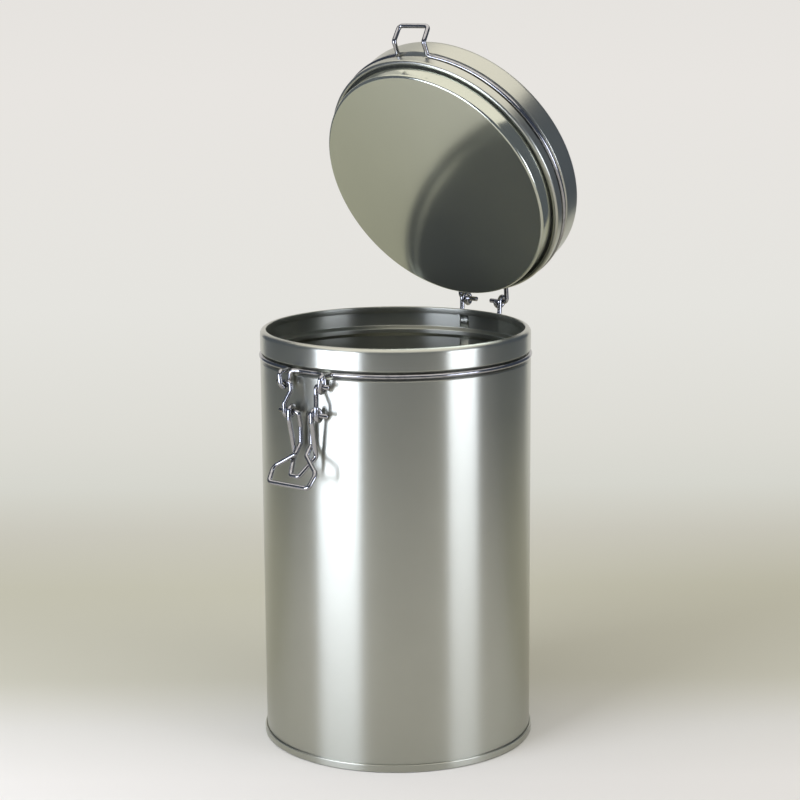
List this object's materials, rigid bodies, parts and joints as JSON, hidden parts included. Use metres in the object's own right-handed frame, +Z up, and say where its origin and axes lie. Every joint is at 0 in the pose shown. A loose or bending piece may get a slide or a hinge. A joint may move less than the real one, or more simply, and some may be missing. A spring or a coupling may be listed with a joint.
{
  "type": "clip-lid tin",
  "caption": "Round tinplate canister standing open: a plugged lid tilts back on its wire hinge and a bent-wire lever clip with a loop bail hangs at the front.",
  "frame": {"origin": "centre of the base on the surface it stands on", "axes": "+Z up along the can axis, -Y towards the clip, +Y towards the lid hinge"},
  "size_m": [0.1094, 0.1378, 0.2857],
  "materials": {
    "tinplate": "satin",
    "steel_wire": "gloss"
  },
  "bodies": {
    "can": {"can_body": "tinplate", "can_bottom": "tinplate", "body_ring": "steel_wire"},
    "lid": {"lid_cap": "tinplate", "lid_plug": "tinplate", "lid_ring": "steel_wire"},
    "lever": {"clip_lever": "steel_wire"},
    "bail": {"clip_bail": "steel_wire"}
  },
  "joints": [
    {"name": "lid_hinge", "type": "hinge", "parent": "can", "child": "lid", "pos_m": [0, 0.0604, 0.1702], "axis": [-1, 0, 0], "range_deg": [-63.5, 26.5]},
    {"name": "lever_hinge", "type": "hinge", "parent": "can", "child": "lever", "pos_m": [0, -0.05702, 0.1524], "axis": [-1, 0, 0], "range_deg": [0, 75]},
    {"name": "bail_hinge", "type": "hinge", "parent": "lever", "child": "bail", "pos_m": [0, -0.05702, 0.1412], "axis": [-1, 0, 0], "range_deg": [0, 75]}
  ]
}
